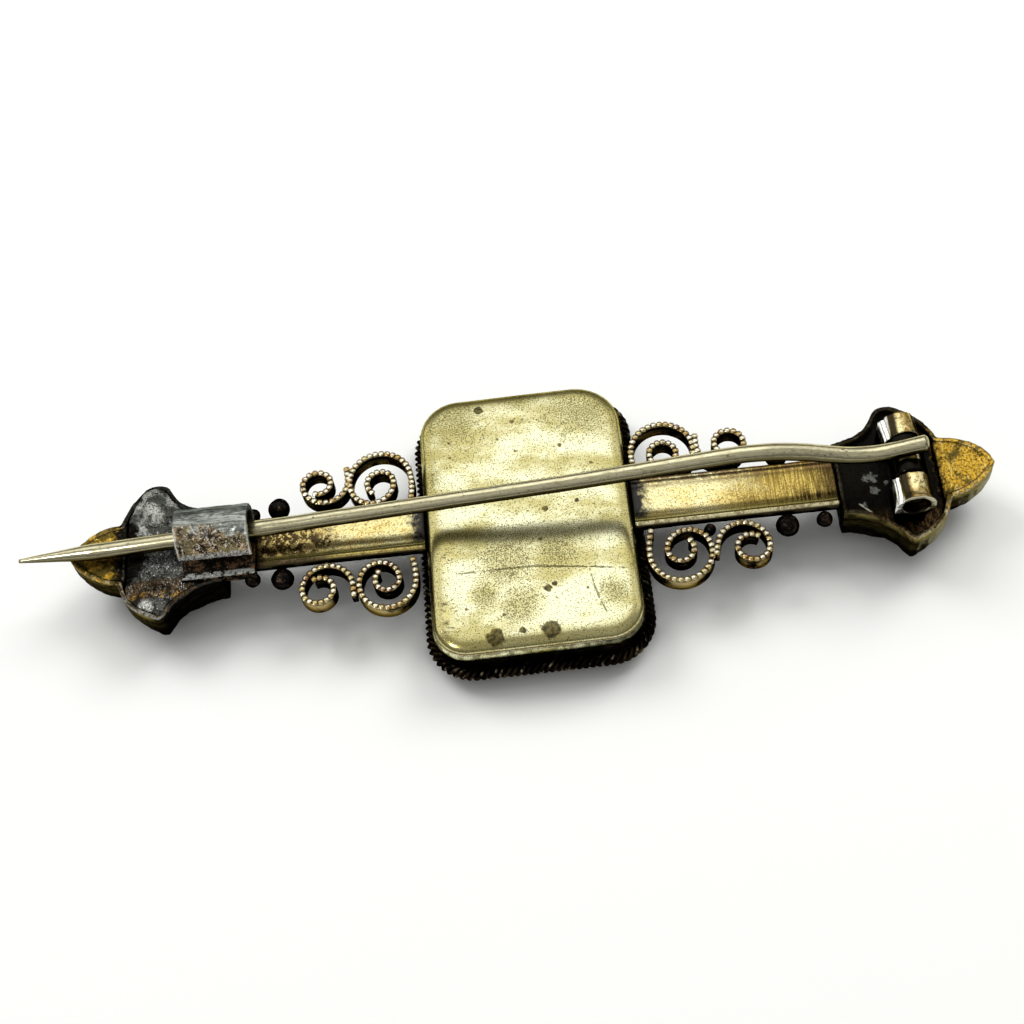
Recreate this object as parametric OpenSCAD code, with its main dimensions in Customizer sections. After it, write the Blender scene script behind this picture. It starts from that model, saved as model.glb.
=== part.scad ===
// Bar brooch lying face down, with its pin side up.
// X runs along the bar, Y across it, and Z up from the front face of the plaque.

/* [Body] */
// Length from tip to tip of the two end ornaments
body_len = 56; // [56:0.5:62]
// Height of the flat backs above the front face
back_z = 3.8; // [3.7:0.05:3.9]

/* [Plaque] */
// Width of the back pan, along the bar
pan_w = 12.6; // [11:0.2:12.8]
// Length of the back pan, across the bar
pan_l = 17.9; // [15:0.1:21]
// Corner radius of the pan seen from above
pan_corner = 2.4; // [1.6:0.1:3.2]
// Radius of the pan's rounded top edge
pan_edge = 0.55; // [0.3:0.05:0.7]
// Sheet thickness of the pan
pan_wall = 0.4; // [0.3:0.05:0.45]
// Thickness of the rope wire
rope_d = 0.8; // [0.6:0.05:0.8]

/* [Bars] */
// Width of each bar's flat back
bar_w = 3.5; // [3.2:0.05:3.5]
// Width of the half-round body under the flat back
bar_round_w = 2.9; // [2:0.1:2.9]

/* [Ends] */
// Thickness of the end ornaments
end_t = 2.44; // [2:0.05:3]
// Width of the rim round each dished back
rim_w = 0.3; // [0.2:0.05:0.4]
// Depth of the dish in the wings
dish_deep = 0.6; // [0.45:0.05:0.7]

/* [Scrolls] */
// Thickness of the scroll wire, seen from above
ribbon_t = 0.38; // [0.25:0.01:0.38]
// Height of the scroll wire
ribbon_h = 1.1; // [0.8:0.05:1.2]

/* [Balls] */
// Diameter of the larger balls
ball_d = 1.36; // [1:0.02:1.36]
// Diameter of the smaller balls
small_ball_d = 0.94; // [0.6:0.02:0.94]

/* [Pin] */
// Diameter of the pin stem
stem_d = 1.05; // [0.9:0.05:1.1]
// Length of the stem's sharp taper
taper_l = 4.6; // [3:0.1:6]
// Outer diameter of the hinge tubes
tube_d = 2.1; // [2:0.05:2.2]
// Diameter of the hinge rivet
rivet_d = 1.3; // [1:0.05:1.4]

/* [Catch] */
// Length of the catch along the bar
catch_l = 4.4; // [3.5:0.1:4.5]
// Outer diameter of the catch's rolled hook
catch_d = 3; // [2.9:0.05:3.2]
// Sheet thickness of the catch
catch_t = 0.38; // [0.3:0.01:0.4]

/* [Hidden] */
$fn = 64;

gap = 0.02;             // between two pieces that meet
running = 0.05;         // round the rivet, and between the tubes
half_len = body_len / 2;

// Plaque heights: the front plate, the tray's walls, then the pan
plate_t = 0.75;
pan_z = 2.5;
tray_in = 0.25;         // tray wall stands in from the pan's side
tray_wall = 0.5;
rope_out = 0.2;         // rope's centre line outside the pan's side
plate_out = 0.12;       // plate's edge outside the pan's side
plate_edge = 0.45;
rope_z = plate_t + gap + rope_d / 2;
plaque_turn = 0.6;      // the plaque sits slightly askew, in degrees

// Bars
bar_top = back_z - 0.24;
bar_edge = 0.35;
bar_plate = 0.5;
bar_x0 = (pan_w / 2 + gap + bar_w / 2 * sin(plaque_turn)) / cos(plaque_turn);
end_l = 9.4;            // end ornament, from its tip back to the bar
bar_x1 = half_len - end_l - gap;

// End ornaments: x runs from the pointed tip back along the bar
end_z = back_z - end_t;
dish_shallow = 0.3;
dish_split = 3.4;       // from the tip to where the deep dish starts
curve_steps = 6;
upper_wing = [5.45, 6.02]; // top of the upper wing on the left and on the right end
petal = [3.05, 2.1];    // where the petal meets the wings
neck = 2.45;            // half width beside the bar
// Half outlines as curves. Columns: start, first handle, second handle, end
LOWER_EDGE = [
    [[end_l, -neck], [8.2, -2.5], [7.0, -3.0], [5.9, -4.5]],
    [[5.9, -4.5], [5.7, -4.8], [5.4, -4.7], [5.2, -4.55]],
    [[5.2, -4.55], [4.2, -4.2], [3.2, -3.4], [petal[0], -petal[1]]],
    [[petal[0], -petal[1]], [1.8, -2.0], [0.4, -0.9], [0, 0]]
];
function upper_edge(wing) = [
    [[end_l, neck], [wing + 2, 2.7], [wing + 1.2, 3], [wing + 0.75, 4.1]],
    [[wing + 0.75, 4.1], [wing + 0.4, 4.85], [wing - 0.3, 4.92], [wing - 0.9, 4.55]],
    [[wing - 0.9, 4.55], [3.9, 3.9], [3.3, 3], petal],
    [petal, [1.7, 2.1], [0.3, 1.2], [0, 0]]
];
// The front narrows towards the middle. Columns: share of the thickness, how far the outline is drawn in
DOME = [[0, 0.75], [0.14, 0.32], [0.3, 0.08], [0.47, 0], [1, 0]];
dome_core = [5, 0];
// The neck and the wings' tips stay straight: drawn in fully up to the first, not at all past the second
DOME_X = [6.2, 7.6];
DOME_Y = [2.7, 5.2];
solder_z = back_z - 0.1;
// Lumps of solder. Columns: x from the tip, y, height over the fill
LUMPS = [[5.3, 3.1, 0.6], [5.3, -3.3, 0.3]];

// Scroll wires as runs of arcs. Columns: radius, degrees turned
BIG_ARCS = [[5.5, 17], [1.85, 200], [1.3, 155], [0.8, 225]];
SMALL_ARCS = [[14, 3], [1.5, 170], [0.95, 145], [0.8, 155]];
arc_step = 15;
ribbon_top = back_z - 0.27;
// Columns: name, side in x, side in y, big scroll, small scroll.
// Each scroll: start from the pan's side, start from the bar's edge, heading, scale
SCROLLS = [
    ["upper_left", -1, 1, [0.74, 0.42, 99, 1.03], [4.67, 2.85, -97, 0.95]],
    ["upper_right", 1, 1, [0.45, 0.2, 104, 1.03], [4.3, 2.54, -92, 0.97]],
    ["lower_left", -1, -1, [0.82, 0.5, 103, 0.92], [4.43, 2.45, -87, 1.02]],
    ["lower_right", 1, -1, [0.88, 0.35, 107, 1], [4.57, 2.25, -78, 1.02]]
];

// Balls. Columns: name, side in x, side in y, large and small ball's distance from the ornament's tip
CORNERS = [
    ["upper_left", -1, 1, 12.72, 11.1],
    ["upper_right", 1, 1, 12.72, 10.47],
    ["lower_left", -1, -1, 12.93, 11.1],
    ["lower_right", 1, -1, 12.72, 10.47]
];
ball_z = bar_top - 0.5;
small_ball_z = bar_top - 0.6;
scroll_ball_d = 0.74;
scroll_ball_x = pan_w / 2 + 4.42;

// Hinge
hinge_x = half_len - 5.4;
hinge_z = back_z + 1.15;
tube_bore = rivet_d + 2 * running;
mid_tube_l = 2.6;
UPPER_TUBE = [1.35, 2.8];  // from the brooch's middle line to the tube's two ends
LOWER_TUBE = [1.4, 3.2];
rivet_end = 2.65;
strip_w = 0.4;
strip_out = 0.05;       // past the tube's side
strip_up = 0.35;        // above the hinge's line
foot_w = 1.3;
floor_z = back_z - dish_deep;

// Catch
catch_x = -half_len + 7.1;
catch_z = back_z + gap;
catch_front = 2.2;
hook_z = catch_z + catch_d / 2;
pad_y = 1.5;
bead_drop = 0.34;       // solder that hangs over the bar's front edge
bead_gap = 0.06;

// Pin stem path, as [x from the hinge, height]. The wire is slimmer from its waist beside the catch to its peak bend
stem_end = [-half_len - 20.95, 4.465];
waist_x = catch_x + catch_l - hinge_x + 0.9;    // just past the catch
waist_d = stem_d - 0.07;
// Columns: place, bend radius, thickness of the run that follows
STEM = [
    [stem_end, 0, stem_d],
    [[-half_len - 20.2, 4.49], 12, stem_d],
    [[waist_x, 5.128], 12, waist_d],
    [[-19.5, 6.56], 90, stem_d],
    [[-8.2, 7.78], 12, stem_d],
    [[-2.5, 5.82], 6, stem_d],
    [[1.15, 6.68], 0, stem_d]
];
tip_d = 0.22;
hair = 0.004;           // bends and taper are this much thinner, so the straight runs' ends close them
lap = 0.05;             // how far a straight run reaches into a bend or the taper

// Plane outline with rounded corners, centred
module plan(w, l, r) {
    square([w - 2 * r, l], center = true);
    square([w, l - 2 * r], center = true);
    for (x = [-1, 1], y = [-1, 1]) {
        translate([x * (w / 2 - r), y * (l / 2 - r)]) circle(r);
    }
}

// Block from z = 0 up to h, with a rounded top edge of radius e
module pillow(w, l, r, e, h) {
    linear_extrude(h - e) plan(w, l, r);
    linear_extrude(h) plan(w - 2 * e, l - 2 * e, r - e);
    for (x = [-1, 1]) {
        translate([x * (w / 2 - e), 0, h - e]) rotate([90, 0, 0]) cylinder(h = l - 2 * r, r = e, center = true);
    }
    for (y = [-1, 1]) {
        translate([0, y * (l / 2 - e), h - e]) rotate([0, 90, 0]) cylinder(h = w - 2 * r, r = e, center = true);
    }
    for (x = [-1, 1], y = [-1, 1]) {
        translate([x * (w / 2 - r), y * (l / 2 - r), h - e]) rotate_extrude() {
            translate([r - e, 0]) intersection() {
                circle(e);
                translate([0, -e]) square([e, 2 * e]);
            }
        }
    }
}

module plaque_back() {
    color("gold") rotate([0, 0, plaque_turn]) translate([0, 0, pan_z]) difference() {
        pillow(pan_w, pan_l, pan_corner, pan_edge, back_z - pan_z);
        translate([0, 0, -pan_wall]) linear_extrude(back_z - pan_z) {
            plan(pan_w - 2 * pan_wall, pan_l - 2 * pan_wall, pan_corner - pan_wall);
        }
    }
}

module plaque_front() {
    tray_w = pan_w - 2 * tray_in;
    tray_l = pan_l - 2 * tray_in;
    tray_r = pan_corner - tray_in;
    color("dimgray") rotate([0, 0, plaque_turn]) {
        translate([0, 0, plate_t]) mirror([0, 0, 1]) {
            pillow(pan_w + 2 * plate_out, pan_l + 2 * plate_out, pan_corner + plate_out, plate_edge, plate_t);
        }
        translate([0, 0, plate_t]) linear_extrude(pan_z - gap - plate_t) difference() {
            plan(tray_w, tray_l, tray_r);
            plan(tray_w - 2 * tray_wall, tray_l - 2 * tray_wall, tray_r - tray_wall);
        }
    }
}

module plaque_rope() {
    w = pan_w + 2 * rope_out;
    l = pan_l + 2 * rope_out;
    r = pan_corner + rope_out;
    color("saddlebrown") rotate([0, 0, plaque_turn]) translate([0, 0, rope_z]) {
        for (x = [-1, 1]) {
            translate([x * w / 2, 0, 0]) rotate([90, 0, 0]) cylinder(h = l - 2 * r, d = rope_d, center = true);
        }
        for (y = [-1, 1]) {
            translate([0, y * l / 2, 0]) rotate([0, 90, 0]) cylinder(h = w - 2 * r, d = rope_d, center = true);
        }
        for (turn = [0:3]) {
            side = turn % 2 == 0 ? [w / 2, l / 2] : [l / 2, w / 2];
            rotate([0, 0, 90 * turn]) translate([side[0] - r, side[1] - r, 0]) {
                rotate_extrude(angle = 90) translate([r, 0]) circle(d = rope_d);
            }
        }
    }
}

// Cross-section of a bar: flat back with rounded edges over a half-round body
module bar_section() {
    translate([-bar_w / 2 + bar_edge, bar_top - bar_plate]) square([bar_w - 2 * bar_edge, bar_plate]);
    translate([-bar_w / 2, bar_top - bar_plate]) square([bar_w, bar_plate - bar_edge]);
    for (y = [-1, 1]) {
        translate([y * (bar_w / 2 - bar_edge), bar_top - bar_edge]) circle(bar_edge);
    }
    translate([0, bar_top - bar_plate]) intersection() {
        circle(d = bar_round_w);
        translate([-bar_round_w, -bar_round_w]) square([2 * bar_round_w, bar_round_w + bar_plate / 2]);
    }
}

module bar_right() {
    color("darkgoldenrod") translate([bar_x0, 0, 0]) rotate([90, 0, 90]) {
        linear_extrude(bar_x1 - bar_x0) bar_section();
    }
}

module bar_left() {
    mirror([1, 0, 0]) bar_right();
}

function bezier(c, t) =
    pow(1 - t, 3) * c[0] + 3 * t * pow(1 - t, 2) * c[1] + 3 * t * t * (1 - t) * c[2] + pow(t, 3) * c[3];

// Points along a row of curves, without the very last point
function along(rows) = [for (c = rows, k = [0:curve_steps - 1]) bezier(c, k / curve_steps)];

function backwards(points) = [for (k = [len(points) - 1:-1:0]) points[k]];

// Whole outline of an end ornament, running anticlockwise
function end_outline(wing) = concat(along(upper_edge(wing)), [[0, 0]], backwards(along(LOWER_EDGE)));

function unit(v) = v / norm(v);

// The outline moved inwards by d, point by point
function inset(points, d) =
    let (n = len(points))
    [for (k = [0:n - 1])
        let (
            before = unit(points[k] - points[(k + n - 1) % n]),
            after = unit(points[(k + 1) % n] - points[k]),
            way = unit(before + after)
        )
        points[k] + d * [-way[1], way[0]]];

// Falls from 1 at span[0] to 0 at span[1]
function fade(v, span) = max(0, min(1, (span[1] - v) / (span[1] - span[0])));

// Level of the ornament's body, its outline drawn in towards the middle of the front
function dome_ring(points, row) = [
    for (p = points)
        let (q = p + row[1] * fade(p[0], DOME_X) * fade(abs(p[1]), DOME_Y) * unit(dome_core - p))
        [q[0], q[1], row[0]]];

// Solid end ornament without its dishes, its unit height stretched to the full thickness
module end_body(wing) {
    outline = end_outline(wing);
    n = len(outline);
    last = len(DOME) - 1;
    resize([0, 0, end_t]) polyhedron(
        points = [for (row = DOME) each dome_ring(outline, row)],
        faces = concat(
            [[for (k = [0:n - 1]) k], [for (k = [n - 1:-1:0]) last * n + k]],
            [for (j = [0:last - 1], k = [0:n - 1])
                let (next = (k + 1) % n)
                [j * n + k, (j + 1) * n + k, (j + 1) * n + next, j * n + next]]
        )
    );
}

// Area inside the rim, from from_x on
module dish_plan(wing, inwards, from_x = 0) {
    intersection() {
        polygon(inset(end_outline(wing), inwards));
        translate([from_x, -half_len]) square([half_len, 2 * half_len]);
    }
}

// End ornament with its tip at the origin and its body along +X
module end_ornament(wing) {
    difference() {
        translate([0, 0, end_z]) end_body(wing);
        translate([0, 0, back_z - dish_shallow]) linear_extrude(2 * dish_shallow) dish_plan(wing, rim_w);
        translate([0, 0, floor_z]) linear_extrude(2 * dish_deep) dish_plan(wing, rim_w, dish_split);
    }
}

module terminal_left() {
    color("olive") translate([-half_len, 0, 0]) end_ornament(upper_wing[0]);
}

module terminal_right() {
    color("olive") translate([half_len, 0, 0]) mirror([1, 0, 0]) end_ornament(upper_wing[1]);
}

// Repair solder filling the left dish, with a lump over each wing
module solder_left() {
    lump_r = 2.2;
    foot_room = 0.1;    // round the catch's foot
    color("gray") translate([-half_len, 0, 0]) difference() {
        intersection() {
            translate([0, 0, floor_z + gap]) linear_extrude(lump_r) {
                dish_plan(upper_wing[0], rim_w + gap, dish_split + 0.2);
            }
            union() {
                translate([0, -half_len, 0]) cube([half_len, 2 * half_len, solder_z]);
                for (row = LUMPS) {
                    translate([row[0], row[1], solder_z + row[2] - lump_r]) sphere(lump_r);
                }
            }
        }
        translate([catch_x + half_len - foot_room, -catch_front - foot_room, solder_z]) {
            cube([catch_l, 2 * catch_front, lump_r]);
        }
    }
}

// Points of a run of arcs as [x, y, heading]; side is 1 to turn left and -1 to turn right
function trace(p, heading, rows, side, size, row = 0) =
    row == len(rows) ? [[p[0], p[1], heading]] :
    let (
        radius = rows[row][0] * size,
        sweep = rows[row][1],
        steps = ceil(sweep / arc_step),
        centre = p + side * radius * [-sin(heading), cos(heading)],
        at = function (h) centre + side * radius * [sin(h), -cos(h)],
        last = heading + side * sweep
    )
    concat(
        [for (k = [0:steps - 1]) let (h = heading + side * sweep * k / steps) [at(h)[0], at(h)[1], h]],
        trace(at(last), last, rows, side, size, row + 1)
    );

// Flat ribbon of the scroll wire's thickness along a traced line
module ribbon(line) {
    left = [for (q = line) [q[0], q[1]] + ribbon_t / 2 * [-sin(q[2]), cos(q[2])]];
    right = [for (q = line) [q[0], q[1]] - ribbon_t / 2 * [-sin(q[2]), cos(q[2])]];
    polygon(concat(left, backwards(right)));
}

module scrolls(row) {
    corner = [pan_w / 2, bar_w / 2];
    big = row[3];
    small = row[4];
    color("goldenrod") scale([row[1], row[2], 1]) translate([0, 0, ribbon_top - ribbon_h]) {
        linear_extrude(ribbon_h) {
            ribbon(trace(corner + [big[0], big[1]], big[2], BIG_ARCS, -1, big[3]));
            ribbon(trace(corner + [small[0], small[1]], small[2], SMALL_ARCS, 1, small[3]));
        }
    }
}

// Ball of diameter d against the bar's edge
module ball_beside(d, x, side, z) {
    color("sienna") translate([x, side * (bar_w / 2 + d / 2 + gap), z]) sphere(d = d);
}

module ball(row) {
    ball_beside(ball_d, row[1] * (half_len - row[3]), row[2], ball_z);
}

module small_ball(row) {
    ball_beside(small_ball_d, row[1] * (half_len - row[4]), row[2], small_ball_z);
}

module ball_between_scrolls() {
    ball_beside(scroll_ball_d, scroll_ball_x, -1, small_ball_z);
}

// Rolled hook open to -Y, on a foot that is soldered across the bar's end
module catch() {
    bar_from = -bar_x1 - catch_x;   // from the hook's outer end to the start of the bar
    color("darkgray") translate([catch_x, 0, 0]) rotate([90, 0, 90]) {
        linear_extrude(catch_l) {
            translate([0, hook_z]) difference() {
                circle(d = catch_d);
                circle(catch_d / 2 - catch_t);
                translate([-catch_d, -catch_d]) square(catch_d);
            }
            translate([-catch_front, catch_z]) square([catch_front, catch_t]);
        }
        translate([0, 0, bar_from]) linear_extrude(catch_l - bar_from) {
            translate([-pad_y, bar_top + gap]) square([2 * pad_y, catch_z - bar_top]);
            translate([-catch_front, catch_z - bead_drop]) {
                square([catch_front - bar_w / 2 - bead_gap, bead_drop + catch_t / 2]);
            }
        }
    }
}

// Tube along Y between two places on the hinge's line
module tube_body(y0, y1) {
    rotate([-90, 0, 0]) translate([0, 0, y0]) cylinder(h = y1 - y0, d = tube_d);
}

// Hole for the rivet, longer than the tube that it goes through
module bore(y0, y1) {
    rotate([-90, 0, 0]) translate([0, 0, y0 - 1]) cylinder(h = y1 - y0 + 2, d = tube_bore);
}

// Fixed hinge tube with its foot and the flat strip of its rolled edge
module knuckle(ends) {
    drop = hinge_z - floor_z - gap;
    wide = ends[1] - ends[0];
    color("khaki") translate([hinge_x, 0, hinge_z]) difference() {
        union() {
            tube_body(ends[0], ends[1]);
            translate([-foot_w / 2, ends[0], -drop]) cube([foot_w, wide, drop]);
            translate([-tube_d / 2 - strip_out, ends[0], -drop]) cube([strip_w, wide, drop + strip_up]);
        }
        bore(ends[0], ends[1]);
    }
}

module knuckle_upper() {
    knuckle(UPPER_TUBE);
}

module knuckle_lower() {
    mirror([0, 1, 0]) knuckle(LOWER_TUBE);
}

module rivet() {
    color("dimgray") translate([hinge_x, 0, hinge_z]) rotate([90, 0, 0]) {
        cylinder(h = 2 * rivet_end, d = rivet_d, center = true);
    }
}

// Direction of the stem's run after point k, in degrees
function slope(k) = let (way = STEM[k + 1][0] - STEM[k][0]) atan2(way[1], way[0]);

// Length that the bend at point k takes from each run beside it
function tangent_l(k) = STEM[k][1] == 0 ? 0 : STEM[k][1] * tan(abs(slope(k) - slope(k - 1)) / 2);

// The bent wire, drawn in the plane of x and height
module stem_wire() {
    for (k = [0:len(STEM) - 2]) {
        run = norm(STEM[k + 1][0] - STEM[k][0]);
        translate(STEM[k][0]) rotate([0, 0, slope(k)]) {
            translate([tangent_l(k) - lap, 0, 0]) rotate([0, 90, 0]) {
                cylinder(h = run - tangent_l(k) - tangent_l(k + 1) + 2 * lap, d = STEM[k][2]);
            }
        }
    }
    for (k = [1:len(STEM) - 2]) {
        radius = STEM[k][1];
        turn = slope(k) - slope(k - 1);
        side = sign(turn);
        translate(STEM[k][0]) rotate([0, 0, slope(k - 1)]) translate([-tangent_l(k), 0, 0]) {
            translate([0, side * radius, 0]) rotate([0, 0, side > 0 ? -90 : 90 + turn]) {
                rotate_extrude(angle = abs(turn)) translate([radius, 0]) {
                    circle(d = min(STEM[k - 1][2], STEM[k][2]) - hair);
                }
            }
        }
    }
    translate(stem_end) rotate([0, 0, slope(0)]) rotate([0, -90, 0]) {
        cylinder(h = taper_l, d1 = stem_d - hair, d2 = tip_d);
    }
}

module pin_stem() {
    color("lightgray") difference() {
        union() {
            translate([hinge_x, 0, 0]) rotate([90, 0, 0]) stem_wire();
            translate([hinge_x, 0, hinge_z]) tube_body(-mid_tube_l / 2, mid_tube_l / 2);
        }
        translate([hinge_x, 0, hinge_z]) bore(-mid_tube_l / 2, mid_tube_l / 2);
    }
}

plaque_back();
plaque_front();
plaque_rope();
bar_left();
bar_right();
terminal_left();
terminal_right();
solder_left();
ball_between_scrolls();
catch();
knuckle_upper();
knuckle_lower();
rivet();
pin_stem();
for (row = SCROLLS) scrolls(row);
for (row = CORNERS) ball(row);
for (row = CORNERS) small_ball(row);
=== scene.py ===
import functools
import math

import bmesh
import bpy
from mathutils import Matrix, Vector, noise


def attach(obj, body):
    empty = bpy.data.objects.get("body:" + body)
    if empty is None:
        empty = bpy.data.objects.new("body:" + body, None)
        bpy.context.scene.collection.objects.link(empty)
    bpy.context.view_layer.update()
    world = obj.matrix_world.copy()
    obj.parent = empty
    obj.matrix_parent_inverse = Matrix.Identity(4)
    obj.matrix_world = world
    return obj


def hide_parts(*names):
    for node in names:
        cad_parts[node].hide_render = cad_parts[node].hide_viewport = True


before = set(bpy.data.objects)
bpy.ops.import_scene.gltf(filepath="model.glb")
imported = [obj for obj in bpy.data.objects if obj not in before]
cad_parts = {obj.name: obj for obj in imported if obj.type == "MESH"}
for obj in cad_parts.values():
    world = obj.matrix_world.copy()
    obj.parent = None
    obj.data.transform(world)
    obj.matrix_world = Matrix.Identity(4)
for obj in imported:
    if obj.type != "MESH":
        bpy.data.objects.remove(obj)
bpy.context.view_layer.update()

# Sizes are in millimetres in the row frame, and settle() turns them into metres
MM = 0.001
TAU = 2 * math.pi
UP = Vector((0, 0, 1))

# Sizes shared with the solids
BACK_Z = 3.8
HALF_LEN = 28.0
PAN_W, PAN_L = 12.6, 17.9
BAR_W, BAR_TOP = 3.5, 3.56
PLAQUE_TURN = math.radians(0.6)
HINGE_X, HINGE_Z = 22.6, 4.95


# Meshes

def add_object(name, data):
    """New object in the scene."""
    obj = bpy.data.objects.new(name, data)
    bpy.context.collection.objects.link(obj)
    return obj


def circle(count):
    """Angles spread evenly round a circle."""
    return [TAU * k / count for k in range(count)]


def ring_round(middle, across, up, radius, count):
    """Ring of points round a place, in the plane of two directions."""
    return [middle + radius * (math.cos(a) * across + math.sin(a) * up) for a in circle(count)]


def skin(rings, loop=False):
    """Points and faces of a surface through closed rings, its ends closed by flat faces unless it loops."""
    n = len(rings[0])
    points = [tuple(p) for ring in rings for p in ring]
    faces = []
    for j in range(len(rings) if loop else len(rings) - 1):
        a, b = j * n, (j + 1) % len(rings) * n
        faces += [(a + k, a + (k + 1) % n, b + (k + 1) % n, b + k) for k in range(n)]
    if not loop:
        faces += [tuple(reversed(range(n))), tuple(range(len(points) - n, len(points)))]
    return points, faces


def shape(name, parts):
    """Object made of several sets of points and faces, still in millimetres."""
    points, faces = [], []
    for some_points, some_faces in parts:
        start = len(points)
        points += some_points
        faces += [tuple(start + k for k in face) for face in some_faces]
    mesh = bpy.data.meshes.new(name)
    mesh.from_pydata(points, [], faces)
    tidy_mesh(mesh)
    return add_object(name, mesh)


def tidy_mesh(mesh):
    """Joins points that meet, turns all faces outwards and shades them smoothly."""
    work = bmesh.new()
    work.from_mesh(mesh)
    bmesh.ops.remove_doubles(work, verts=work.verts, dist=1e-4)
    bmesh.ops.recalc_face_normals(work, faces=work.faces)
    work.to_mesh(mesh)
    work.free()
    mesh.shade_smooth()


def wear(mesh, slot):
    """Gives a mesh the look of a material slot."""
    mesh.materials.clear()
    mesh.materials.append(looks[slot])


def settle(obj, slot, node, body="brooch"):
    """Takes a finished piece to metres, gives it its material and lets it stand for its CAD node."""
    obj.data.transform(Matrix.Scale(MM, 4))
    wear(obj.data, slot)
    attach(obj, body)
    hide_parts(node)


def uneven(obj, rows, weight=None):
    """Moves each point along its normal by noise. Rows: size of the bumps, height, shift of the pattern."""
    normals = [v.normal.copy() for v in obj.data.vertices]
    for v, normal in zip(obj.data.vertices, normals):
        push = 0.0
        for size, height, shift in rows:
            push += height * noise.noise(v.co / size + Vector((shift, shift, shift)))
        if weight:
            push *= weight(v.co)
        v.co += normal * push
    obj.data.update()


def recast(name, node, voxel, smooth_turns):
    """Copy of a CAD node in small even faces with softened edges, in millimetres."""
    obj = add_object(name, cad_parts[node].data.copy())
    obj.data.transform(Matrix.Scale(1 / MM, 4))
    remesh = obj.modifiers.new("remesh", "REMESH")
    remesh.mode = "VOXEL"
    remesh.voxel_size = voxel
    soften = obj.modifiers.new("soften", "SMOOTH")
    soften.factor = 0.5
    soften.iterations = smooth_turns
    graph = bpy.context.evaluated_depsgraph_get()
    mesh = bpy.data.meshes.new_from_object(obj.evaluated_get(graph))
    mesh.shade_smooth()
    obj.modifiers.clear()
    obj.data = mesh
    return obj


def turned(point, angle):
    """A point turned about the vertical axis."""
    return Vector((point[0] * math.cos(angle) - point[1] * math.sin(angle),
                   point[0] * math.sin(angle) + point[1] * math.cos(angle), point[2]))


def near(distance, width):
    """Falls smoothly from 1 where the distance is 0 to nearly 0 one width away."""
    return math.exp(-2.5 * (distance / width) ** 2)


def clamped(value):
    """A share kept between 0 and 1."""
    return min(1.0, max(0.0, value))


# Materials

# Sockets of a Mix node that blends colours: its two colours and its result
MIX_A, MIX_B, MIX_RESULT = 6, 7, 2


def is_socket(value):
    return isinstance(value, bpy.types.NodeSocket)


def connect(node, inputs):
    """Gives a node its inputs, each a socket to link or a constant."""
    for name, value in inputs.items():
        if is_socket(value):
            node.id_data.links.new(value, node.inputs[name])
        else:
            node.inputs[name].default_value = value


def add_node(kind, inputs, output=0, tree=None, **settings):
    """Adds a shader node to the given tree, or the one its inputs come from, and returns one output."""
    tree = tree or next(value.id_data for value in inputs.values() if is_socket(value))
    node = tree.nodes.new("ShaderNode" + kind)
    for name, value in settings.items():
        setattr(node, name, value)
    connect(node, inputs)
    return node.outputs[output]


def mask(value, low, high):
    """0 below low and 1 above high, or the other way round when low is the larger."""
    ends = (1.0, 0.0) if low > high else (0.0, 1.0)
    inputs = {"Value": value, "From Min": min(low, high), "From Max": max(low, high),
              "To Min": ends[0], "To Max": ends[1]}
    return add_node("MapRange", inputs, "Result", interpolation_type="SMOOTHSTEP")


def spread(value, low, high):
    """A number from low to high, following value from 0 to 1."""
    return add_node("MapRange", {"Value": value, "To Min": low, "To Max": high}, "Result")


def maths(operation, a, b=0.0):
    return add_node("Math", {0: a, 1: b}, operation=operation)


def plus(a, b):
    return maths("ADD", a, b)


def minus(a, b):
    return maths("SUBTRACT", a, b)


def both(a, b):
    return maths("MULTIPLY", a, b)


def either(a, b):
    return maths("MAXIMUM", a, b)


def band(value, start, full, last, end):
    """1 from full to last, and 0 before start and after end."""
    return both(mask(value, start, full), mask(value, end, last))


def shifted(value, pattern, amount):
    """A value moved up by a pattern times an amount."""
    return plus(value, both(pattern, amount))


def wobble(pattern, amount):
    """A pattern from 0 to 1 turned into a shift to either side of 0."""
    return both(minus(pattern, 0.5), amount)


def vector_maths(operation, a, b):
    output = "Value" if operation in ("DISTANCE", "DOT_PRODUCT") else "Vector"
    return add_node("VectorMath", {0: a, 1: b}, output, operation=operation)


def rgba(tone):
    """A colour socket as it is, and three numbers as an opaque colour."""
    return tone if is_socket(tone) else (*tone, 1.0)


def blend(share, a, b):
    """Colour a where share is 0 and b where it is 1."""
    return add_node("Mix", {"Factor": share, MIX_A: rgba(a), MIX_B: rgba(b)}, MIX_RESULT, data_type="RGBA")


def over(colour, tone, where, share=1.0):
    """A colour with a tone laid over it where a mask is 1."""
    return blend(where if share == 1.0 else both(where, share), colour, tone)


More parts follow.
